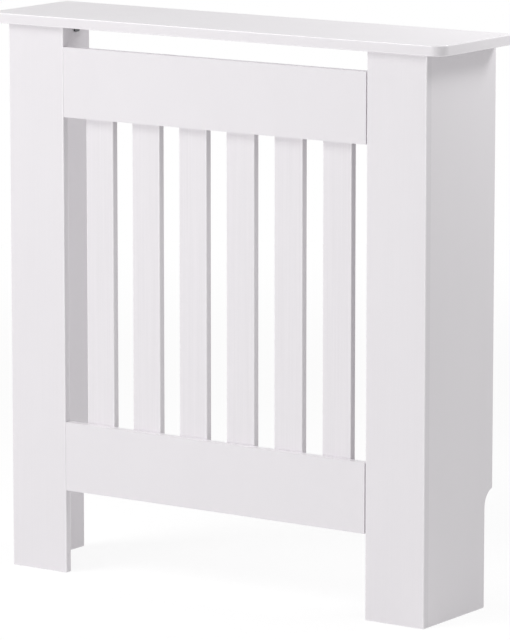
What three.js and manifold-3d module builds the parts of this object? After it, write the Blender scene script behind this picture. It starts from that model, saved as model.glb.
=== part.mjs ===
// A radiator cover cabinet in white lacquered fibreboard: a shelf on two L-shaped uprights, with a
// grille of upright slats between them. It is open at the back and at the foot.
// Millimetres, +Z up, +Y towards the wall. The origin is on the floor, under the shelf's middle.

import * as THREE from "three";
import { mergeVertices } from "three/addons/utils/BufferGeometryUtils.js";
import Module from "manifold-3d";

const wasm = await Module();
wasm.setup();

// Shelf
const overallHeight = 820;
const shelfWidth = 780;
const shelfDepth = 190;
const shelfThickness = 15;
const shelfCornerRadius = 30;
const sideOverhang = 30;
const frontOverhang = 10;

// Uprights: a stile at the front and a side panel behind it, glued to an L
const stileWidth = 98;
const boardThickness = 12;
const notchDepth = 20;
const notchHeight = 171;
const notchRadius = 25;

// Grille: two rails between the stiles, with slats behind them
const ventSlot = 29;
const floorGap = 124;
const railHeight = 101.6;
const leftJointGap = 0.7;
const rightJointGap = 2.3;
const slatCount = 6;
const slatWidth = 48;
const slatThickness = 12;
const slatEndInset = 10;

// Steel plates across the joints between rails and stiles
const plateLength = 54;
const plateWidth = 16;
const plateThickness = 2;
const plateHoleOffset = 17;
const plateToSlat = 3.7;

// Steel angles: four hold the shelf on the side panels, two fix it to the wall
const angleLeg = 25;
const angleWidth = 12;
const angleThickness = 2;
const angleBendRadius = 1.5;
const angleCornerRadius = 3;
const angleHoleOffset = 15;
const cornerBracketMargin = 33;
const wallBracketSpacing = 400;
const wallHoleDiameter = 4.5;

// Countersunk screws
const screwDiameter = 3.5;
const screwHeadDiameter = 6.6;
const screwPointLength = 3;
const screwTipCover = 3;

// Beech dowels in the joints between stiles and side panels
const dowelCount = 3;
const dowelDiameter = 6;
const dowelChamfer = 0.8;
const dowelInSide = 20;
const dowelStileCover = 4;
const dowelEndMargin = 90;

// Fits and roundings
const seat = 0.3;
const boreClearance = 0.3;
const arris = 1.5;
const arrisFacets = 3;
const arcFacets = 9;
const steelFacets = 4;
const roundSides = 12;

// Sizes and places that follow from them
const bodyWidth = shelfWidth - 2 * sideOverhang;
const bodyFront = frontOverhang - shelfDepth / 2;
const wallPlane = shelfDepth / 2;
const shelfUnderside = overallHeight - shelfThickness;
const uprightHeight = shelfUnderside - seat;
const sideFront = bodyFront + boardThickness + seat;
const sideDepth = wallPlane - sideFront;
const opening = bodyWidth - 2 * stileWidth;
const grilleWidth = opening - leftJointGap - rightJointGap;
const grilleShift = (leftJointGap - rightJointGap) / 2;
const grilleHeight = shelfUnderside - ventSlot - floorGap;
const slatMargin = plateLength / 2 + plateToSlat;
const slatPitch = (grilleWidth - 2 * slatMargin - slatWidth) / (slatCount - 1);
const railMiddles = { lower: railHeight / 2, upper: grilleHeight - railHeight / 2 };
const slatScrewLength = slatThickness + seat + boardThickness - screwTipCover;
const thinnestBoard = Math.min(boardThickness, shelfThickness);
const plateScrewLength = plateThickness + seat + boardThickness - screwTipCover;
const bracketScrewLength = angleThickness + seat + thinnestBoard - screwTipCover;
const dowelLength = boardThickness - dowelStileCover + seat + dowelInSide;
const dowelMiddleY = bodyFront + dowelStileCover + dowelLength / 2;
const dowelPitch = (uprightHeight - 2 * dowelEndMargin) / (dowelCount - 1);

const xAxis = new THREE.Vector3(1, 0, 0);
const yAxis = new THREE.Vector3(0, 1, 0);
const zAxis = new THREE.Vector3(0, 0, 1);
const flatToFront = new THREE.Matrix4().makeBasis(xAxis, zAxis, yAxis.clone().negate());
const flatToSide = new THREE.Matrix4().makeBasis(yAxis, zAxis, xAxis);

// A closed geometry as a solid that can be cut, and back again.
function solidOf(geometry) {
  const bare = geometry.clone();
  bare.deleteAttribute("normal");
  bare.deleteAttribute("uv");
  const merged = mergeVertices(bare);
  const vertProperties = merged.attributes.position.array;
  const triVerts = new Uint32Array(merged.index.array);
  return new wasm.Manifold(new wasm.Mesh({ numProp: 3, vertProperties, triVerts }));
}

function geometryOf(solid) {
  const { vertProperties, triVerts } = solid.getMesh();
  const geometry = new THREE.BufferGeometry();
  geometry.setAttribute("position", new THREE.BufferAttribute(vertProperties, 3));
  geometry.setIndex(new THREE.BufferAttribute(triVerts, 1));
  geometry.computeVertexNormals();
  return geometry;
}

function piece(name, geometry, look, position = new THREE.Vector3()) {
  const mesh = new THREE.Mesh(geometry, new THREE.MeshStandardMaterial(look));
  mesh.name = name;
  mesh.position.copy(position);
  return mesh;
}

function at(x, y, z) {
  return new THREE.Vector3(x, y, z);
}

const lacquer = { color: 0xf2f1f4, roughness: 0.45, metalness: 0 };
const zincPlate = { color: 0xc3c6c8, roughness: 0.35, metalness: 1 };
const beech = { color: 0xd6b488, roughness: 0.75, metalness: 0 };

// Boards: an outline extruded to a thickness, with eased arrises all round.
function rectangle(width, height) {
  const half = width / 2;
  const corners = [at(-half, 0), at(half, 0), at(half, height), at(-half, height)];
  return new THREE.Shape(corners);
}

function easedBoard(outline, thickness) {
  const geometry = new THREE.ExtrudeGeometry(outline, {
    depth: thickness - 2 * arris,
    bevelThickness: arris,
    bevelSize: arris,
    bevelOffset: -arris,
    bevelSegments: arrisFacets,
    curveSegments: arcFacets,
  });
  return geometry.translate(0, 0, arris);
}

// A board that faces the room: its front face is at y = 0 and its foot at z = 0.
function frontBoard(width, height, thickness) {
  const board = easedBoard(rectangle(width, height), thickness);
  return board.applyMatrix4(flatToFront).translate(0, thickness, 0);
}

// The shelf: square at the wall, with two rounded corners at the front.
function shelfOutline() {
  const side = shelfWidth / 2;
  const arcX = side - shelfCornerRadius;
  const arcY = shelfCornerRadius - wallPlane;
  const outline = new THREE.Shape();
  outline.moveTo(side, wallPlane);
  outline.lineTo(-side, wallPlane);
  outline.absarc(-arcX, arcY, shelfCornerRadius, Math.PI, 1.5 * Math.PI, false);
  outline.absarc(arcX, arcY, shelfCornerRadius, 1.5 * Math.PI, 2 * Math.PI, false);
  return outline;
}

// A side panel, seen from its side: y runs back from the stile. At the rear foot it is notched to
// clear a skirting board, with a round upper corner that may reach past the notch's depth.
function sideOutline() {
  const notchFront = sideDepth - notchDepth;
  const arcY = notchFront + notchRadius;
  const arcZ = notchHeight - notchRadius;
  const reach = Math.min(notchDepth - notchRadius, 0);
  const outline = new THREE.Shape();
  outline.moveTo(0, 0);
  outline.lineTo(notchFront, 0);
  outline.absarc(arcY, arcZ, notchRadius, Math.PI, Math.acos(reach / notchRadius), true);
  if (notchDepth > notchRadius) outline.lineTo(sideDepth, notchHeight);
  outline.lineTo(sideDepth, uprightHeight);
  outline.lineTo(0, uprightHeight);
  return outline;
}

function sidePanel() {
  return easedBoard(sideOutline(), boardThickness).applyMatrix4(flatToSide);
}

// Fasteners are turned shapes along y, with the head's flat at y = 0 and the point below it. Each
// one keeps its bore, the same shape with a clearance all round, for the pieces that it holds.
function turned(profile) {
  const points = profile.map(([radius, y]) => new THREE.Vector2(radius, y));
  return new THREE.LatheGeometry(points, roundSides);
}

function screwShape(length, clearance) {
  const shank = screwDiameter / 2 + clearance;
  const head = screwHeadDiameter / 2 + clearance;
  const coneHeight = (screwHeadDiameter - screwDiameter) / 2;
  const tip = -length - clearance;
  return turned([
    [0, tip],
    [shank / 3, tip],
    [shank, tip + screwPointLength],
    [shank, -coneHeight],
    [head, 0],
    [head, clearance],
    [0, clearance],
  ]);
}

function dowelShape(length, clearance) {
  const radius = dowelDiameter / 2 + clearance;
  const end = length / 2 + clearance;
  return turned([
    [0, -end],
    [radius - dowelChamfer, -end],
    [radius, dowelChamfer - end],
    [radius, end - dowelChamfer],
    [radius - dowelChamfer, end],
    [0, end],
  ]);
}

// holds names the pieces that the fastener passes through.
function fastener(name, look, shape, length, position, outward, holds) {
  const mesh = piece(name, shape(length, 0), look, position);
  mesh.quaternion.setFromUnitVectors(yAxis, outward);
  mesh.userData = { bore: shape(length, boreClearance), holds };
  return mesh;
}

// Steel parts: an outline with a constant thickness and sheared, square edges.
function steelSheet(outline, depth) {
  const options = { depth, bevelEnabled: false, curveSegments: steelFacets };
  return new THREE.ExtrudeGeometry(outline, options);
}

// A joining plate: a flat strip with round ends that lies on the boards at y = 0.
function joiningPlate() {
  const radius = plateWidth / 2;
  const arcX = plateLength / 2 - radius;
  const outline = new THREE.Shape();
  outline.absarc(arcX, 0, radius, -Math.PI / 2, Math.PI / 2, false);
  outline.absarc(-arcX, 0, radius, Math.PI / 2, 1.5 * Math.PI, false);
  const plate = steelSheet(outline, plateThickness).applyMatrix4(flatToFront);
  return plate.translate(0, plateThickness, 0);
}

// The outline of an angle's leg: square at the bend, y = 0, with two rounded corners at its end.
function legOutline() {
  const side = angleWidth / 2;
  const arcX = side - angleCornerRadius;
  const arcY = angleCornerRadius - angleLeg;
  const outline = new THREE.Shape();
  outline.moveTo(side, 0);
  outline.lineTo(-side, 0);
  outline.absarc(-arcX, arcY, angleCornerRadius, Math.PI, 1.5 * Math.PI, false);
  outline.absarc(arcX, arcY, angleCornerRadius, 1.5 * Math.PI, 2 * Math.PI, false);
  return outline;
}

// A bent steel angle: one leg runs along +x under the shelf and the other down along -z. The
// faces that bear on the boards are z = 0 and x = 0. The bend and the corners of the legs are round.
function angleBracket() {
  const outer = angleBendRadius + angleThickness;
  const bent = new THREE.Shape();
  bent.moveTo(angleLeg, 0);
  bent.absarc(outer, -outer, outer, Math.PI / 2, Math.PI, false);
  bent.lineTo(0, -angleLeg);
  bent.lineTo(angleThickness, -angleLeg);
  bent.absarc(outer, -outer, angleBendRadius, Math.PI, Math.PI / 2, true);
  bent.lineTo(angleLeg, -angleThickness);
  const strip = steelSheet(bent, angleWidth).applyMatrix4(flatToFront);
  const legDown = steelSheet(legOutline(), angleLeg).applyMatrix4(flatToSide);
  const legAcross = steelSheet(legOutline(), angleLeg).rotateZ(Math.PI / 2);
  const trimmed = solidOf(strip.translate(0, angleWidth / 2, 0))
    .intersect(solidOf(legDown))
    .intersect(solidOf(legAcross.translate(0, 0, -angleLeg)));
  return geometryOf(trimmed);
}

// A wall bracket is the same angle with a bare hole in its upright leg for the wall screw.
function wallBracket() {
  const radius = wallHoleDiameter / 2;
  const hole = new THREE.CylinderGeometry(radius, radius, 4 * angleThickness, roundSides);
  hole.rotateZ(Math.PI / 2).translate(0, 0, -angleHoleOffset);
  return geometryOf(solidOf(angleBracket()).subtract(solidOf(hole)));
}

const cabinet = new THREE.Group();

// Shelf
const shelf = piece("top_shelf", easedBoard(shelfOutline(), shelfThickness), lacquer);
shelf.position.z = shelfUnderside;
cabinet.add(shelf);

// Uprights: a stile and a side panel, with dowels in the glued joint between them
const sides = { left: -1, right: 1 };
for (const [side, sign] of Object.entries(sides)) {
  const upright = new THREE.Group();
  const stileX = (sign * (bodyWidth - stileWidth)) / 2;
  const stile = frontBoard(stileWidth, uprightHeight, boardThickness);
  upright.add(piece(`${side}_stile`, stile, lacquer, at(stileX, bodyFront, 0)));
  const panelMiddle = (sign * (bodyWidth - boardThickness)) / 2;
  const panelPlace = at(panelMiddle - boardThickness / 2, sideFront, 0);
  upright.add(piece(`${side}_side_panel`, sidePanel(), lacquer, panelPlace));
  const holds = [`${side}_stile`, `${side}_side_panel`];
  for (let i = 0; i < dowelCount; i += 1) {
    const spot = at(panelMiddle, dowelMiddleY, dowelEndMargin + i * dowelPitch);
    const name = `dowel_${side}_${i + 1}`;
    upright.add(fastener(name, beech, dowelShape, dowelLength, spot, yAxis, holds));
  }
  cabinet.add(upright);
}

// Grille: it sits a little to the left in the opening, and its slats are screwed from behind
const grille = new THREE.Group();
grille.position.set(grilleShift, bodyFront, floorGap);
for (const [level, middle] of Object.entries(railMiddles)) {
  const rail = frontBoard(grilleWidth, railHeight, boardThickness);
  grille.add(piece(`${level}_rail`, rail, lacquer, at(0, 0, middle - railHeight / 2)));
}
for (let i = 0; i < slatCount; i += 1) {
  const slatX = (i - (slatCount - 1) / 2) * slatPitch;
  const slatY = boardThickness + seat;
  const slat = frontBoard(slatWidth, grilleHeight - 2 * slatEndInset, slatThickness);
  grille.add(piece(`slat_${i + 1}`, slat, lacquer, at(slatX, slatY, slatEndInset)));
  for (const [level, middle] of Object.entries(railMiddles)) {
    const spot = at(slatX, slatY + slatThickness, middle);
    const name = `slat_screw_${level}_${i + 1}`;
    const holds = [`slat_${i + 1}`, `${level}_rail`];
    grille.add(fastener(name, zincPlate, screwShape, slatScrewLength, spot, yAxis, holds));
  }
}
cabinet.add(grille);

// Joining plates behind the joints between rails and stiles, with a screw into each board
for (const [side, sign] of Object.entries(sides)) {
  for (const [level, middle] of Object.entries(railMiddles)) {
    const joint = new THREE.Group();
    const plate = `joining_plate_${level}_${side}`;
    joint.position.set((sign * opening) / 2, sideFront, floorGap + middle);
    joint.add(piece(plate, joiningPlate(), zincPlate));
    const boards = { [`${side}_stile`]: sign, [`${level}_rail`]: -sign };
    for (const [board, direction] of Object.entries(boards)) {
      const spot = at(direction * plateHoleOffset, plateThickness, 0);
      const name = `plate_screw_${level}_${side}_${board.split("_")[1]}`;
      const holds = [plate, board];
      joint.add(fastener(name, zincPlate, screwShape, plateScrewLength, spot, yAxis, holds));
    }
    cabinet.add(joint);
  }
}

// Angles under the shelf, each in a group that turns its legs the right way
function angleGroup(x, y, turn) {
  const group = new THREE.Group();
  group.position.set(x, y, shelfUnderside - seat);
  group.rotation.z = turn;
  cabinet.add(group);
  return group;
}

function shelfScrew(name, angle) {
  const spot = at(angleHoleOffset, 0, -angleThickness);
  const down = zAxis.clone().negate();
  const holds = [angle, "top_shelf"];
  return fastener(name, zincPlate, screwShape, bracketScrewLength, spot, down, holds);
}

function panelScrew(name, angle, panel) {
  const spot = at(angleThickness, 0, -angleHoleOffset);
  return fastener(name, zincPlate, screwShape, bracketScrewLength, spot, xAxis, [angle, panel]);
}

const ends = {
  front: sideFront + cornerBracketMargin,
  rear: wallPlane - cornerBracketMargin,
};
for (const [side, sign] of Object.entries(sides)) {
  const panelFace = sign * (bodyWidth / 2 - boardThickness - seat);
  for (const [end, y] of Object.entries(ends)) {
    const corner = angleGroup(panelFace, y, sign < 0 ? 0 : Math.PI);
    const angle = `corner_bracket_${end}_${side}`;
    corner.add(piece(angle, angleBracket(), zincPlate));
    corner.add(shelfScrew(`bracket_screw_${end}_${side}_shelf`, angle));
    corner.add(panelScrew(`bracket_screw_${end}_${side}_panel`, angle, `${side}_side_panel`));
  }
  const wall = angleGroup((sign * wallBracketSpacing) / 2, wallPlane, -Math.PI / 2);
  wall.add(piece(`wall_bracket_${side}`, wallBracket(), zincPlate));
  wall.add(shelfScrew(`wall_bracket_screw_${side}`, `wall_bracket_${side}`));
}

// Bores: each piece is cut by the fasteners that hold it
cabinet.updateMatrixWorld(true);
const pieces = new Map();
cabinet.traverse((item) => {
  if (item.isMesh) pieces.set(item.name, item);
});
const bores = new Map();
for (const item of pieces.values()) {
  for (const name of item.userData.holds ?? []) {
    bores.set(name, [...(bores.get(name) ?? []), item]);
  }
}
for (const [name, fasteners] of bores) {
  const held = pieces.get(name);
  const toHeld = held.matrixWorld.clone().invert();
  let solid = solidOf(held.geometry);
  for (const item of fasteners) {
    const bore = item.userData.bore.clone();
    bore.applyMatrix4(item.matrixWorld).applyMatrix4(toHeld);
    solid = solid.subtract(solidOf(bore));
  }
  held.geometry = geometryOf(solid);
}

export default cabinet;
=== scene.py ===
import math

import bmesh
import bpy
from mathutils import Matrix, Vector


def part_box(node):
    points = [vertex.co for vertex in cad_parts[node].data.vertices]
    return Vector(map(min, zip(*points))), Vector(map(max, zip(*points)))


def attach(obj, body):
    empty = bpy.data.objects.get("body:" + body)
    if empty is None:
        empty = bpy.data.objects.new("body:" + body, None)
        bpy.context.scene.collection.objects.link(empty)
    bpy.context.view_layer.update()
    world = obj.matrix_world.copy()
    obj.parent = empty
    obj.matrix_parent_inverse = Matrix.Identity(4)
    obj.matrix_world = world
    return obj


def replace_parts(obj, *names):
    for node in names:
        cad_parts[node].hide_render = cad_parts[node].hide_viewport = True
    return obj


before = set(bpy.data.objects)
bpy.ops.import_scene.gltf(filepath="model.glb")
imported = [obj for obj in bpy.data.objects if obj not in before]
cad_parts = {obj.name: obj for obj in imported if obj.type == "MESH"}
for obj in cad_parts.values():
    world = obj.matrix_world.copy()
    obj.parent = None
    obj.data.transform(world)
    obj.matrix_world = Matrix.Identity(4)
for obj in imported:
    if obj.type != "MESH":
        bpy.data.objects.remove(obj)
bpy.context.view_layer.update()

# ---- Shelf
# One panel of 15 mm fibreboard that overhangs the body at its front and ends. Its front corners are
# cut round and every arris is eased with a router. It is then primed and sprayed white on all sides,
# with two coats of satin lacquer, before assembly.

mm = 0.001
shelf_corner = 20 * mm
board_easing = 1.5 * mm
eased_above = math.radians(50)
shaded_round_below = math.radians(40)
plane_axes = {"x": (1, 2, 0), "y": (0, 2, 1), "z": (0, 1, 2)}

thin_white = (0.838, 0.812, 0.840, 1)
full_white = (0.868, 0.842, 0.868, 1)
arris_highlight_white = (0.97, 0.943, 0.97, 1)
stroke_contrast = 0.10
edge_shade_and_highlight = 0.08
fibre_shade_and_highlight = 0.06
satin_roughness = 0.34
haze_roughness = 0.10
edge_roughness = 0.10
arris_gloss = 0.18
arris_coat = 0.6
arris_smoothing = 0.7
fibre_relief = 0.5
peel_height = 0.03 * mm


class Wire:
    """One output of a node. Arithmetic on wires and numbers adds Math nodes to the same tree."""

    def __init__(self, tree, socket=None):
        self.tree = tree
        self.socket = socket

    def node(self, kind, settings=None, inputs=None, output=0):
        """Adds a node, gives it its settings and inputs, and returns the wire of one output."""
        node = self.tree.nodes.new(kind)
        for name, value in (settings or {}).items():
            setattr(node, name, value)
        for name, value in (inputs or {}).items():
            if isinstance(value, Wire):
                self.tree.links.new(value.socket, node.inputs[name])
            else:
                node.inputs[name].default_value = value
        return Wire(self.tree, node.outputs[output] if node.outputs else None)

    def maths(self, operation, *terms):
        return self.node("ShaderNodeMath", {"operation": operation}, dict(enumerate(terms)))

    def __add__(self, other):
        return self.maths("ADD", self, other)

    def __sub__(self, other):
        return self.maths("SUBTRACT", self, other)

    def __rsub__(self, other):
        return self.maths("SUBTRACT", other, self)

    def __mul__(self, other):
        return self.maths("MULTIPLY", self, other)

    __radd__ = __add__
    __rmul__ = __mul__

    def between(self, low, high):
        """A colour mixed from low to high by this wire."""
        colour_sockets = {0: self, 6: low, 7: high}
        return self.node("ShaderNodeMix", {"data_type": "RGBA"}, colour_sockets, 2)

    def scaled(self, factors):
        """This vector or colour, times a factor for each axis, or times one value."""
        return self.node("ShaderNodeVectorMath", {"operation": "MULTIPLY"}, {0: self, 1: factors})


def new_finish(name):
    """An empty material, and a wire to build its nodes with."""
    material = bpy.data.materials.new(name)
    material.use_nodes = True
    material.node_tree.nodes.clear()
    return material, Wire(material.node_tree)


def surfaced(finish, looks):
    """Ends a finish with one principled shader, whose looks are wires or plain values."""
    shader = finish.node("ShaderNodeBsdfPrincipled", {}, looks)
    finish.node("ShaderNodeOutputMaterial", {}, {"Surface": shader})


# The lacquer dries with a fine orange peel. It draws thin and smooth over the eased arrises, and the
# fibres of the sawn edges show faintly through it.
white_lacquer, spray = new_finish("white_lacquer")
place = spray.node("ShaderNodeTexCoord", output="Object")
arris_mask = spray.node("ShaderNodeAttribute", {"attribute_name": "arris"}, output="Fac")
edge_mask = spray.node("ShaderNodeAttribute", {"attribute_name": "cut_edge"}, output="Fac")
sanding_mask = spray.node("ShaderNodeAttribute", {"attribute_name": "sanding"}, output="Fac")
peel = spray.node("ShaderNodeTexNoise", {}, {"Vector": place, "Scale": 380, "Detail": 2})
fibre = spray.node(
    "ShaderNodeTexNoise", {}, {"Vector": place, "Scale": 1500, "Detail": 3, "Roughness": 0.6})
passes = spray.node("ShaderNodeTexNoise", {}, {"Vector": place.scaled((4, 4, 1.2)), "Scale": 3})
haze = spray.node("ShaderNodeTexNoise", {}, {"Vector": place, "Scale": 22, "Detail": 3})
strokes = spray.node(
    "ShaderNodeTexNoise", {}, {"Vector": place.scaled((460, 460, 5)), "Scale": 1, "Detail": 3})
coat_tone = passes.between(thin_white, full_white)
sanded_tone = coat_tone.scaled(1 + stroke_contrast * sanding_mask * (strokes - 0.5))
# Painted shade: sawn edges are painted darker by their cut_edge value, varied by the fibre noise.
# Where that value is below 0, on the rails, it is a painted highlight that paints them lighter.
edge_painted_tone = sanded_tone.scaled(1 - edge_mask * (edge_shade_and_highlight + fibre_shade_and_highlight * fibre))
# Painted highlight: the eased arrises are painted in a lighter white.
lacquer_with_painted_light = arris_mask.between(edge_painted_tone, arris_highlight_white)
dulled = satin_roughness + haze_roughness * haze + edge_roughness * edge_mask
relief = peel * (1 - arris_smoothing * arris_mask) + fibre_relief * fibre * edge_mask
skin = spray.node("ShaderNodeBump", {}, {"Strength": 1, "Distance": peel_height, "Height": relief})
surfaced(spray, {
    "Base Color": lacquer_with_painted_light, "Roughness": dulled - arris_gloss * arris_mask, "Normal": skin,
    "IOR": 1.48, "Coat Weight": arris_coat * arris_mask, "Coat Roughness": 0.12, "Coat IOR": 1.6})


def arc(middle, radius, start, stop, steps=12):
    """Points on an arc from one angle to another, in degrees."""
    turns = [math.radians(start + (stop - start) * step / steps) for step in range(steps + 1)]
    return [(middle[0] + radius * math.cos(a), middle[1] + radius * math.sin(a)) for a in turns]


def sawn(outline, across, low, high):
    """A flat blank with an outline in the plane across an axis, from low to high along that axis."""
    first, second, third = plane_axes[across]
    shape = bmesh.new()
    loops = []
    for depth in (low, high):
        loop = []
        for point in outline:
            spot = [0.0, 0.0, 0.0]
            spot[first], spot[second], spot[third] = point[0], point[1], depth
            loop.append(shape.verts.new(spot))
        loops.append(loop)
        shape.faces.new(loop)
    near, far = loops
    for i in range(len(outline)):
        shape.faces.new((near[i - 1], near[i], far[i], far[i - 1]))
    bmesh.ops.recalc_face_normals(shape, faces=shape.faces)
    return shape


def routed(shape, across, easing, square=lambda spot: False, facets=3, shade_and_highlight=0.0, streaks=0.0):
    """Eases the arrises of a blank, but not those whose ends are both in a square joint.

    The layers tell the finish where the board is rounded, how far painted shade darkens its edges,
    which below 0 is a painted highlight that lightens them, and how clearly sanding strokes show.
    """
    arris = shape.faces.layers.float.new("arris")
    cut_edge = shape.faces.layers.float.new("cut_edge")
    sanding = shape.faces.layers.float.new("sanding")
    third = plane_axes[across][2]
    for face in shape.faces:
        is_edge = abs(face.normal[third]) < 0.5
        face[cut_edge] = shade_and_highlight if is_edge else 0.0
        face[sanding] = streaks
    sharp = []
    for edge in shape.edges:
        if edge.calc_face_angle() > eased_above and not all(square(v.co) for v in edge.verts):
            sharp.append(edge)
    rounds = bmesh.ops.bevel(
        shape, geom=sharp, offset=easing, segments=facets, profile=0.5, affect="EDGES")
    for face in rounds["faces"]:
        face[arris] = 1.0
        face[cut_edge] = 0.0
    return shape


def placed(name, shape):
    """Puts a shape in the scene as an object at the origin."""
    mesh = bpy.data.meshes.new(name)
    shape.to_mesh(mesh)
    shape.free()
    piece = bpy.data.objects.new(name, mesh)
    bpy.context.scene.collection.objects.link(piece)
    return piece


def settled(piece):
    """Makes what the modifiers show the piece's own mesh, and takes them off."""
    evaluated = piece.evaluated_get(bpy.context.evaluated_depsgraph_get())
    mesh = bpy.data.meshes.new_from_object(evaluated)
    piece.modifiers.clear()
    piece.data = mesh
    return piece


def smoothed(piece):
    """Shades arrises and arcs round, while flats stay flat and the rims of holes stay crisp."""
    piece.data.shade_smooth()
    piece.data.set_sharp_from_angle(angle=shaded_round_below)
    piece.modifiers.new("normals", "WEIGHTED_NORMAL").keep_sharp = True
    return settled(piece)


shelf_low, shelf_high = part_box("top_shelf")
left_arc = (shelf_low.x + shelf_corner, shelf_low.y + shelf_corner)
right_arc = (shelf_high.x - shelf_corner, shelf_low.y + shelf_corner)
shelf_outline = [(shelf_high.x, shelf_high.y), (shelf_low.x, shelf_high.y)]
shelf_outline += arc(left_arc, shelf_corner, 180, 270) + arc(right_arc, shelf_corner, 270, 360)
shelf_blank = sawn(shelf_outline, "z", shelf_low.z, shelf_high.z)
shelf = smoothed(placed("shelf_board", routed(shelf_blank, "z", board_easing)))
shelf.data.materials.append(white_lacquer)
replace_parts(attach(shelf, "root"), "top_shelf")


# ---- Uprights
# Two L-shaped legs of 12 mm fibreboard: a wide stile to the room and a side panel behind it, glued
# over dowels and sanded flush before spraying. The panel's rear foot is notched for the skirting.

notch_radius = 25 * mm
notch_depth = 20 * mm
notch_height = 171 * mm
glue_line = 0.05 * mm
touch = 0.01 * mm


def board_front(low, high):
    """A board's outline as seen from the room, between two opposite corners."""
    return [(low.x, low.z), (high.x, low.z), (high.x, high.z), (low.x, high.z)]


for side, outward in (("left", -1), ("right", 1)):
    low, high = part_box(side + "_stile")
    outer_x = low.x if outward < 0 else high.x
    joint_y = high.y

    def glued_corner(spot):
        return abs(spot.x - outer_x) < touch and abs(spot.y - joint_y) < touch

    stile_blank = sawn(board_front(low, high), "y", low.y, high.y)
    # Painted shade: the stile's sawn edges are painted a little darker.
    stile = smoothed(placed(
        side + "_stile_board",
        routed(stile_blank, "y", board_easing, square=glued_corner, shade_and_highlight=0.5, streaks=0.3)))
    stile.data.materials.append(white_lacquer)
    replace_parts(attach(stile, "root"), side + "_stile")

    low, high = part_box(side + "_side_panel")
    front = joint_y + glue_line
    notch_middle = (high.y - notch_depth + notch_radius, low.z + notch_height - notch_radius)
    rear_angle = 180 - math.degrees(math.acos((notch_radius - notch_depth) / notch_radius))
    panel_outline = [(front, low.z), (high.y - notch_depth, low.z)]
    panel_outline += arc(notch_middle, notch_radius, 180, rear_angle)
    panel_outline += [(high.y, high.z), (front, high.z)]
    panel_blank = sawn(panel_outline, "x", low.x, high.x)
    panel = smoothed(placed(side + "_side_board", routed(
        panel_blank, "x", board_easing, square=lambda spot: spot.y < front + touch)))
    panel.data.materials.append(white_lacquer)
    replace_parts(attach(panel, "root"), side + "_side_panel")


# ---- Rails
# Two 12 mm boards between the stiles, flush with them at the front. Their sawn edges are
# painted lighter, a painted highlight.
# The ends are sawn square, a little short: a hairline joint at the left and a wider one at the right.

right_joint = 1.4 * mm
right_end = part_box("right_stile")[0].x - right_joint

for level in ("lower", "upper"):
    low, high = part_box(level + "_rail")
    rail_outline = board_front(low, Vector((right_end, high.y, high.z)))
    rail_blank = sawn(rail_outline, "y", low.y, high.y)
    rail_ends = (low.x, right_end)

    # Fault: a long arris runs from one sawn end to the other, so it counts as square as well, and the
    # rails stay sharp all round. Only an edge with both its corners at the same end should be spared.
    def sawn_end(spot):
        return min(abs(spot.x - end) for end in rail_ends) < touch

    # Painted highlight: a value below 0 paints the rails' sawn edges lighter.
    rail = smoothed(placed(
        level + "_rail_board",
        routed(rail_blank, "y", board_easing, square=sawn_end, shade_and_highlight=-1.0)))
    rail.data.materials.append(white_lacquer)
    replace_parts(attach(rail, "root"), level + "_rail")


# ---- Slats
# Six equal strips of 12 mm fibreboard behind the rails. Each is eased and sprayed like the other
# boards, then drilled and countersunk at the back for the two screws that hold it on the rails.

screw_head = 6.6 * mm
screw_shank = 3.5 * mm
hole_clearance = 0.2 * mm
hole_columns = 32
cut_above = 1 * mm
slat_hole_depth = 20 * mm
slat_count = 6


def turned(rings, columns):
    """A closed shape turned about z, from rings of a height and a radius, or a rule for the radius."""
    shape = bmesh.new()
    loops = []
    for height, radius in rings:
        loop = []
        for i in range(columns):
            reach = radius(i / columns) if callable(radius) else radius
            angle = math.tau * i / columns
            spot = (reach * math.cos(angle), reach * math.sin(angle), height)
            loop.append(shape.verts.new(spot))
        loops.append(loop)
    for upper, lower in zip(loops, loops[1:]):
        for i in range(columns):
            shape.faces.new((upper[i - 1], upper[i], lower[i], lower[i - 1]))
    shape.faces.new(loops[0])
    shape.faces.new(loops[-1])
    bmesh.ops.recalc_face_normals(shape, faces=shape.faces)
    return shape


def countersink(depth):
    """The space that a countersunk screw needs, with the surface at z = 0 and the hole below it."""
    head, shank = screw_head / 2 + hole_clearance, screw_shank / 2 + hole_clearance
    return turned([(cut_above, head), (0, head), (shank - head, shank), (-depth, shank)], hole_columns)


def bored(piece, hole, spots):
    """Cuts a hole through a piece at each spot, given as a matrix."""
    for spot in spots:
        cutter = hole.copy()
        cutter.transform(spot)
        drill = placed("drill", cutter)
        cut = piece.modifiers.new("hole", "BOOLEAN")
        cut.object = drill
        cut.solver = "EXACT"
        settled(piece)
        bpy.data.objects.remove(drill)
    hole.free()
    return piece


facing_wall = Matrix.Rotation(math.radians(-90), 4, "X")
first_low, first_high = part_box("slat_1")
last_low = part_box("slat_%d" % slat_count)[0]
slat_middle = (first_low.x + first_high.x) / 2
slat_pitch = (last_low.x - first_low.x) / (slat_count - 1)
slat_spots = []
for level in ("lower", "upper"):
    low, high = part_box("slat_screw_%s_1" % level)
    spot = Vector((slat_middle, first_high.y, (low.z + high.z) / 2))
    slat_spots.append(Matrix.Translation(spot) @ facing_wall)
slat_blank = sawn(board_front(first_low, first_high), "y", first_low.y, first_high.y)
# Painted shade: the slats' sawn sides are painted darker.
routed(slat_blank, "y", board_easing, shade_and_highlight=1.0, streaks=1.0)
slats = bored(placed("grille_slats", slat_blank), countersink(slat_hole_depth), slat_spots)
smoothed(slats)


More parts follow.
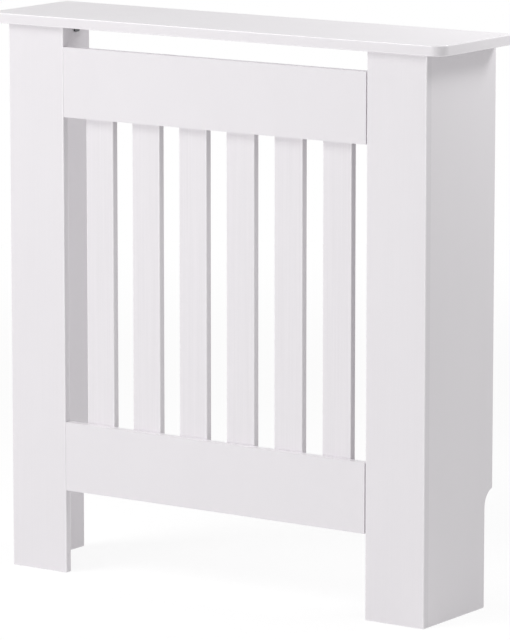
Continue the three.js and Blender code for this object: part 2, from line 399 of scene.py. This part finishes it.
def group_tree(name, inputs):
    """A Geometry Nodes tree with named inputs after its geometry, and a wire from each of them."""
    tree = bpy.data.node_groups.new(name, "GeometryNodeTree")
    tree.interface.new_socket("Geometry", in_out="OUTPUT", socket_type="NodeSocketGeometry")
    tree.interface.new_socket("Geometry", in_out="INPUT", socket_type="NodeSocketGeometry")
    for label, kind in inputs.items():
        tree.interface.new_socket(label, in_out="INPUT", socket_type=kind)
    labels = ["Geometry", *inputs]
    return tree, {label: Wire(tree).node("NodeGroupInput", output=label) for label in labels}


def handed_out(repeats, finish):
    """Ends a tree: its instances become plain geometry, dressed in one finish."""
    real = repeats.node("GeometryNodeRealizeInstances", {}, {"Geometry": repeats})
    dressed = real.node("GeometryNodeSetMaterial", {}, {"Geometry": real, "Material": finish})
    dressed.node("NodeGroupOutput", {}, {"Geometry": dressed})


def grown(piece, tree, values):
    """Runs a tree on a piece with the given inputs and keeps the plain mesh that it makes."""
    growth = piece.modifiers.new("growth", "NODES")
    growth.node_group = tree
    for item in tree.interface.items_tree:
        if item.in_out == "INPUT" and item.name in values:
            growth[item.identifier] = values[item.name]
    return settled(piece)


slat_row, given = group_tree("slat_row", {
    "Count": "NodeSocketInt", "Pitch": "NodeSocketFloat", "Finish": "NodeSocketMaterial"})
step = given["Pitch"].node("ShaderNodeCombineXYZ", {}, {"X": given["Pitch"]})
row = step.node("GeometryNodeMeshLine", {}, {"Count": given["Count"], "Offset": step})
repeats = row.node(
    "GeometryNodeInstanceOnPoints", {}, {"Points": row, "Instance": given["Geometry"]})
handed_out(repeats, given["Finish"])
grown(slats, slat_row, {"Count": slat_count, "Pitch": slat_pitch, "Finish": white_lacquer})
slat_nodes = ["slat_%d" % (i + 1) for i in range(slat_count)]
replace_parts(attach(slats, "root"), *slat_nodes)


# ---- Joining plates
# Four flat steel strips with round ends, pressed from 2 mm sheet, countersunk and zinc plated. Each
# lies behind a joint between a rail and a stile, with one screw into each board.

plate_hole_offset = 17 * mm
plate_hole_depth = 10 * mm
steel_easing = 0.25 * mm
steel_facets = 2
plating_height = 0.02 * mm
dull_zinc = (0.47, 0.485, 0.51, 1)
bright_zinc = (0.64, 0.645, 0.64, 1)

zinc_steel, plating = new_finish("zinc_steel")
place = plating.node("ShaderNodeTexCoord", output="Object")
rolling = plating.node(
    "ShaderNodeTexNoise", {}, {"Vector": place.scaled((60, 900, 900)), "Scale": 1, "Detail": 4})
crystals = plating.node("ShaderNodeTexVoronoi", {}, {"Vector": place, "Scale": 700}, "Distance")
bloom = plating.node("ShaderNodeTexNoise", {}, {"Vector": place, "Scale": 70, "Detail": 2})
zinc_tone = (0.6 * bloom + 0.4 * rolling).between(dull_zinc, bright_zinc)
zinc_skin = plating.node("ShaderNodeBump", {}, {
    "Strength": 1, "Distance": plating_height, "Height": rolling + 0.4 * crystals})
surfaced(plating, {
    "Base Color": zinc_tone, "Metallic": 1, "Roughness": 0.26 + 0.18 * bloom + 0.06 * crystals,
    "Normal": zinc_skin})

fixing_tree, given = group_tree("fixings_on_places", {
    "Fixing": "NodeSocketObject", "Finish": "NodeSocketMaterial"})
fixing = given["Fixing"].node(
    "GeometryNodeObjectInfo", {"transform_space": "ORIGINAL"}, {"Object": given["Fixing"]}, "Geometry")
way = fixing.node(
    "GeometryNodeInputNamedAttribute", {"data_type": "FLOAT_VECTOR"}, {"Name": "way"})
turn = way.node("FunctionNodeEulerToRotation", {}, {"Euler": way})
repeats = turn.node("GeometryNodeInstanceOnPoints", {}, {
    "Points": given["Geometry"], "Instance": fixing, "Rotation": turn})
handed_out(repeats, given["Finish"])


def fitted(name, fixing, finish, places):
    """Repeats a fixing at places, each a spot and the angles in degrees that it is turned by."""
    mesh = bpy.data.meshes.new(name)
    mesh.from_pydata([spot for spot, way in places], [], [])
    ways = mesh.attributes.new("way", "FLOAT_VECTOR", "POINT")
    for i, (spot, way) in enumerate(places):
        ways.data[i].vector = [math.radians(angle) for angle in way]
    piece = bpy.data.objects.new(name, mesh)
    bpy.context.scene.collection.objects.link(piece)
    grown(piece, fixing_tree, {"Fixing": fixing, "Finish": finish})
    bpy.data.objects.remove(fixing)
    return piece


to_wall = (-90, 0, 0)
low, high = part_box("joining_plate_lower_left")
plate_size = high - low
plate_radius = plate_size.z / 2
straight = plate_size.x / 2 - plate_radius
strip = arc((straight, 0), plate_radius, -90, 90) + arc((-straight, 0), plate_radius, 90, 270)
plate_blank = sawn(strip, "z", 0, plate_size.y)
plate = placed("plate", routed(plate_blank, "z", steel_easing, facets=steel_facets))
plate_holes = [Matrix.Translation((end * plate_hole_offset, 0, plate_size.y)) for end in (-1, 1)]
smoothed(bored(plate, countersink(plate_hole_depth), plate_holes))
plate_places = []
plate_nodes = []
for level in ("lower", "upper"):
    for side in ("left", "right"):
        plate_nodes.append("joining_plate_%s_%s" % (level, side))
        low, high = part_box(plate_nodes[-1])
        plate_places.append((((low.x + high.x) / 2, low.y, (low.z + high.z) / 2), to_wall))
plates = fitted("joining_plates", plate, zinc_steel, plate_places)
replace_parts(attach(plates, "root"), *plate_nodes)


# ---- Angles
# Six small angles bent from 2 mm steel strip, zinc plated and given a nearly black colour.
# Four tie the shelf to the side panels. Two at the back have a plain hole in their hanging leg,
# for a screw into the wall.

angle_sheet = 2 * mm
angle_bend = 1.5 * mm
bend_steps = 8
angle_corner = 3 * mm
corner_facets = 6
angle_hole_offset = 15 * mm
angle_hole_depth = 6 * mm
wall_hole = 4.5 * mm
wall_hole_top = 4 * mm
low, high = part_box("corner_bracket_front_left")
angle_leg = high.x - low.x
angle_width = high.y - low.y
deep_black = (0.10, 0.10, 0.11, 1)
grey_black = (0.20, 0.20, 0.20, 1)

dark_zinc, plating = new_finish("dark_zinc")
place = plating.node("ShaderNodeTexCoord", output="Object")
bloom = plating.node("ShaderNodeTexNoise", {}, {"Vector": place, "Scale": 160, "Detail": 3})
dark_skin = plating.node(
    "ShaderNodeBump", {}, {"Strength": 1, "Distance": plating_height, "Height": bloom})
surfaced(plating, {
    "Base Color": bloom.between(deep_black, grey_black), "Metallic": 1,
    "Roughness": 0.38 + 0.2 * bloom, "Normal": dark_skin})


def bent_angle(name, lower_hole, lower_way):
    """An angle with one leg along +x under z = 0 and the other hanging down along x = 0."""
    outer = angle_bend + angle_sheet
    profile = [(angle_leg, 0)] + arc((outer, -outer), outer, 90, 180, bend_steps)
    profile += [(0, -angle_leg), (angle_sheet, -angle_leg)]
    profile += arc((outer, -outer), angle_bend, 180, 90, bend_steps) + [(angle_leg, -angle_sheet)]
    shape = sawn(profile, "y", -angle_width / 2, angle_width / 2)
    tips = []
    for edge in shape.edges:
        first, second = (vert.co for vert in edge.verts)
        along = (first - second).length
        at_tip = (min(first.x, second.x) > angle_leg - touch
                  or max(first.z, second.z) < touch - angle_leg)
        if at_tip and abs(along - angle_sheet) < touch:
            tips.append(edge)
    bmesh.ops.bevel(
        shape, geom=tips, offset=angle_corner, segments=corner_facets, profile=0.5, affect="EDGES")
    angle = placed(name, routed(shape, "y", steel_easing, facets=steel_facets))
    upper_spot = Matrix.Translation((angle_hole_offset, 0, -angle_sheet))
    upper_spot = upper_spot @ Matrix.Rotation(math.pi, 4, "X")
    lower_spot = Matrix.Translation((angle_sheet, 0, -angle_hole_offset)) @ lower_way
    bored(angle, countersink(angle_hole_depth), [upper_spot])
    bored(angle, lower_hole, [lower_spot])
    return smoothed(angle)


facing_room = Matrix.Rotation(math.radians(90), 4, "Y")
corner_angle = bent_angle("corner_angle", countersink(angle_hole_depth), facing_room)
wall_bore = turned([(wall_hole_top, wall_hole / 2), (-angle_hole_depth, wall_hole / 2)], hole_columns)
wall_angle = bent_angle("wall_angle", wall_bore, facing_room)

corner_places = []
corner_nodes = []
for end in ("front", "rear"):
    for side, turn_angle in (("left", 0), ("right", 180)):
        corner_nodes.append("corner_bracket_%s_%s" % (end, side))
        low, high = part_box(corner_nodes[-1])
        face_x = low.x if side == "left" else high.x
        corner_places.append(((face_x, (low.y + high.y) / 2, high.z), (0, 0, turn_angle)))
corner_angles = fitted("corner_angles", corner_angle, dark_zinc, corner_places)
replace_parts(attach(corner_angles, "root"), *corner_nodes)

wall_places = []
for side in ("left", "right"):
    low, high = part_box("wall_bracket_" + side)
    wall_places.append((((low.x + high.x) / 2, high.y, high.z), (0, 0, -90)))
wall_angles = fitted("wall_angles", wall_angle, dark_zinc, wall_places)
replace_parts(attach(wall_angles, "root"),
            "wall_bracket_left", "wall_bracket_right")


# ---- Screws
# Countersunk zinc-plated wood screws with a cross recess, 3.5 mm across the thread. The long ones
# hold the slats on the rails, and the short ones hold the plates and the angles on the boards.

screw_columns = 16
head_chamfer = 0.12 * mm
head_rim = 0.25 * mm
thread_start = 0.6 * mm
thread_pitch = 1.6 * mm
thread_core = 1.2 * mm
thread_height = 0.55 * mm
ridge_share = 0.5
rows_per_turn = 4
point_length = 3 * mm
point_share = 0.12
recess_reach = 1.9 * mm
recess_half_width = 0.45 * mm
recess_depth = 1.5 * mm
recess_taper = 0.45

# What the head faces: how the screw is turned for it, and the axis and the side of its box there.
head_sides = {
    "wall": (to_wall, 1, 1),
    "floor": ((180, 0, 0), 2, 0),
    "right": ((0, 90, 0), 0, 1),
    "left": ((0, -90, 0), 0, 0),
}


def screw(name, length):
    """A screw with its head's flat at z = 0 and its point straight below."""
    head = screw_head / 2
    neck = thread_core - head
    rings = [(0, head - head_chamfer), (-head_chamfer, head), (-head_rim, head),
             (neck - head_rim, thread_core)]
    row_height = thread_pitch / rows_per_turn
    rows = int((length + neck - thread_start) / row_height)
    for row_number in range(rows + 1):
        height = neck - thread_start - row_number * row_height
        left = min(max((length + height) / point_length, point_share), 1)

        def ridge(turn_share, height=height, left=left):
            phase = (turn_share - height / thread_pitch) % 1
            rise = max(0, 1 - abs(phase - 0.5) / (ridge_share / 2))
            return left * (thread_core + thread_height * rise)

        rings.append((height, ridge))
    body = placed(name, turned(rings, screw_columns))
    arm, reach = recess_half_width, recess_reach
    quarter = [(arm, arm), (arm, reach), (-arm, reach)]
    plus = [(x * c - y * s, x * s + y * c)
            for c, s in ((1, 0), (0, 1), (-1, 0), (0, -1)) for x, y in quarter]
    recess = sawn(plus, "z", -recess_depth, cut_above)
    for vert in recess.verts:
        if vert.co.z < 0:
            vert.co.x *= recess_taper
            vert.co.y *= recess_taper
    bored(body, recess, [Matrix.Identity(4)])
    return smoothed(body)


def screw_places(names, facing):
    """The spot of each screw's head, read from its box, and the way that the screw is turned."""
    way, axis, side = head_sides[facing]
    places = []
    for node in names:
        low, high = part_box(node)
        spot = (low + high) / 2
        spot[axis] = (low, high)[side][axis]
        places.append((tuple(spot), way))
    return places


slat_screw_nodes = ["slat_screw_%s_%d" % (level, i + 1)
                    for level in ("lower", "upper") for i in range(slat_count)]
low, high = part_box(slat_screw_nodes[0])
slat_screws = fitted("slat_screws", screw("long_screw", high.y - low.y), zinc_steel,
                     screw_places(slat_screw_nodes, "wall"))
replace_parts(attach(slat_screws, "root"), *slat_screw_nodes)

plate_screw_nodes = ["plate_screw_%s_%s_%s" % (level, side, board_name)
                     for level in ("lower", "upper") for side in ("left", "right")
                     for board_name in ("stile", "rail")]
low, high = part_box(plate_screw_nodes[0])
plate_screws = fitted("plate_screws", screw("plate_screw", high.y - low.y), zinc_steel,
                      screw_places(plate_screw_nodes, "wall"))
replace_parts(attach(plate_screws, "root"), *plate_screw_nodes)

shelf_nodes = ["bracket_screw_%s_%s_shelf" % (end, side)
               for end in ("front", "rear") for side in ("left", "right")]
shelf_nodes += ["wall_bracket_screw_left", "wall_bracket_screw_right"]
left_nodes = ["bracket_screw_%s_left_panel" % end for end in ("front", "rear")]
right_nodes = ["bracket_screw_%s_right_panel" % end for end in ("front", "rear")]
low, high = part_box(shelf_nodes[0])
angle_places = screw_places(shelf_nodes, "floor")
angle_places += screw_places(left_nodes, "right")
angle_places += screw_places(right_nodes, "left")
angle_screws = fitted("angle_screws", screw("angle_screw", high.z - low.z), zinc_steel, angle_places)
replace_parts(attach(angle_screws, "root"),
            *(shelf_nodes + left_nodes + right_nodes))


# ---- Dowels
# Six fluted beech dowels, glued across the joint between each stile and its side panel. They are
# out of sight once the uprights are together.

dowel_flutes = 16
flute_depth = 0.2 * mm
dowel_chamfer = 0.8 * mm
grain_height = 0.04 * mm
dark_beech = (0.42, 0.25, 0.13, 1)
pale_beech = (0.68, 0.47, 0.29, 1)

beech, timber = new_finish("beech")
place = timber.node("ShaderNodeTexCoord", output="Object")
grain = timber.node(
    "ShaderNodeTexNoise", {}, {"Vector": place.scaled((900, 45, 900)), "Scale": 1, "Detail": 5})
fleck = timber.node("ShaderNodeTexNoise", {}, {"Vector": place.scaled((1800, 300, 1800)), "Scale": 1})
beech_tone = (0.7 * grain + 0.3 * fleck).between(dark_beech, pale_beech)
beech_skin = timber.node(
    "ShaderNodeBump", {}, {"Strength": 1, "Distance": grain_height, "Height": grain})
surfaced(timber, {"Base Color": beech_tone, "Roughness": 0.62 + 0.2 * fleck, "Normal": beech_skin})

low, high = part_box("dowel_left_1")
dowel_radius = (high.x - low.x) / 2
dowel_half = (high.y - low.y) / 2


def fluted(share):
    """The radius of a fluted dowel at a share of one turn."""
    return dowel_radius - flute_depth * (round(share * 2 * dowel_flutes) % 2)


dowel_rings = [(dowel_half, dowel_radius - dowel_chamfer), (dowel_half - dowel_chamfer, fluted),
               (dowel_chamfer - dowel_half, fluted), (-dowel_half, dowel_radius - dowel_chamfer)]
dowel = smoothed(placed("dowel", turned(dowel_rings, 2 * dowel_flutes)))
dowel_nodes = ["dowel_%s_%d" % (side, i) for side in ("left", "right") for i in (1, 2, 3)]
dowel_places = []
for node in dowel_nodes:
    low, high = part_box(node)
    dowel_places.append((tuple((low + high) / 2), to_wall))
dowels = fitted("dowels", dowel, beech, dowel_places)
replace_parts(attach(dowels, "root"), *dowel_nodes)


# ---- Studio
# A white floor, on which the cabinet keeps a faint soft shadow, fades into a white surround. Two
# large soft lamps stand before the cabinet, one high at its left and one low, and a small one lights
# its right side.

fill_strength = 0.5
floor_reach = 40.0
floor_corners = 64
floor_bounce = 0.9
shadow_share = 0.3
open_floor_light = 0.75
shadow_reach = (1.2, 3.2)
main_aim = (0, 0, 0.45)
side_aim = (0.36, 0.05, 0.6)


def grey(level):
    """A neutral tone, from black at 0 to white at 1."""
    return (level, level, level, 1)


def seen_rays(paint):
    """1 for the rays that the camera sees a surface by, straight or in gloss or glass, and else 0."""
    seen = paint.node("ShaderNodeLightPath", output="Is Camera Ray")
    for kind in ("Is Glossy Ray", "Is Transmission Ray"):
        seen = seen.maths("MAXIMUM", seen, paint.node("ShaderNodeLightPath", output=kind))
    return seen


floor_paint, surface = new_finish("studio_floor")
seen = seen_rays(surface)
place = surface.node("ShaderNodeTexCoord", output="Object")
distance = place.node("ShaderNodeVectorMath", {"operation": "LENGTH"}, {0: place}, "Value")
near = 1 - distance.node("ShaderNodeMapRange", {"interpolation_type": "SMOOTHSTEP"}, {
    "Value": distance, "From Min": shadow_reach[0], "From Max": shadow_reach[1]})
shadow_tone = near.between(grey(0), grey(shadow_share))
floor_tone = seen.between(grey(floor_bounce), shadow_tone)
lit = surface.node("ShaderNodeBsdfDiffuse", {}, {"Color": floor_tone})
glow = surface.node("ShaderNodeEmission", {}, {
    "Color": grey(1), "Strength": seen * (1 - shadow_share * open_floor_light * near)})
surface.node("ShaderNodeOutputMaterial", {}, {
    "Surface": surface.node("ShaderNodeAddShader", {}, {0: lit, 1: glow})})
floor_shape = bmesh.new()
bmesh.ops.create_circle(floor_shape, cap_ends=True, segments=floor_corners, radius=floor_reach)
floor = placed("studio_floor", floor_shape)
floor.data.materials.append(floor_paint)

world = bpy.data.worlds.new("studio")
bpy.context.scene.world = world
world.use_nodes = True
world.node_tree.nodes.clear()
sky = Wire(world.node_tree)
fill = sky.node("ShaderNodeBackground", {}, {"Color": grey(1), "Strength": fill_strength})
backdrop = sky.node("ShaderNodeBackground", {}, {"Color": grey(1), "Strength": 1})
sky.node("ShaderNodeOutputWorld", {}, {
    "Surface": sky.node("ShaderNodeMixShader", {}, {0: seen_rays(sky), 1: fill, 2: backdrop})})


def soft_lamp(name, spot, aim, width, height, power):
    """A rectangular lamp at a spot, facing the point that it is aimed at."""
    lamp = bpy.data.lights.new(name, "AREA")
    lamp.shape = "RECTANGLE"
    lamp.size, lamp.size_y = width, height
    lamp.energy = power
    holder = bpy.data.objects.new(name, lamp)
    holder.location = spot
    holder.rotation_euler = (Vector(aim) - Vector(spot)).to_track_quat("-Z", "Y").to_euler()
    bpy.context.scene.collection.objects.link(holder)


soft_lamp("key_lamp", spot=(-1.5, -2.1, 2.6), aim=main_aim, width=1.6, height=1.6, power=33.5)
soft_lamp("low_lamp", spot=(-0.8, -4.0, 0.7), aim=main_aim, width=1.8, height=1.2, power=27.5)
soft_lamp("side_lamp", spot=(0.8, 0.5, 1.35), aim=side_aim, width=0.3, height=0.3, power=3.7)


# ---- Camera
# It stands before the cabinet and to its right, above the shelf and well back, and looks down a
# little through a long lens.

photo_height = 640
focal_pixels = 4703
camera_spot = (3.799, -5.474, 1.547)
camera_turn = 34.649
camera_drop = 9.845

camera = bpy.data.objects.new("camera", bpy.data.cameras.new("camera"))
camera.data.lens = focal_pixels * camera.data.sensor_width / photo_height
camera.location = camera_spot
camera.rotation_euler = (math.radians(90 - camera_drop), 0, math.radians(camera_turn))
bpy.context.scene.collection.objects.link(camera)
bpy.context.scene.camera = camera
bpy.context.scene.view_settings.view_transform = "Standard"
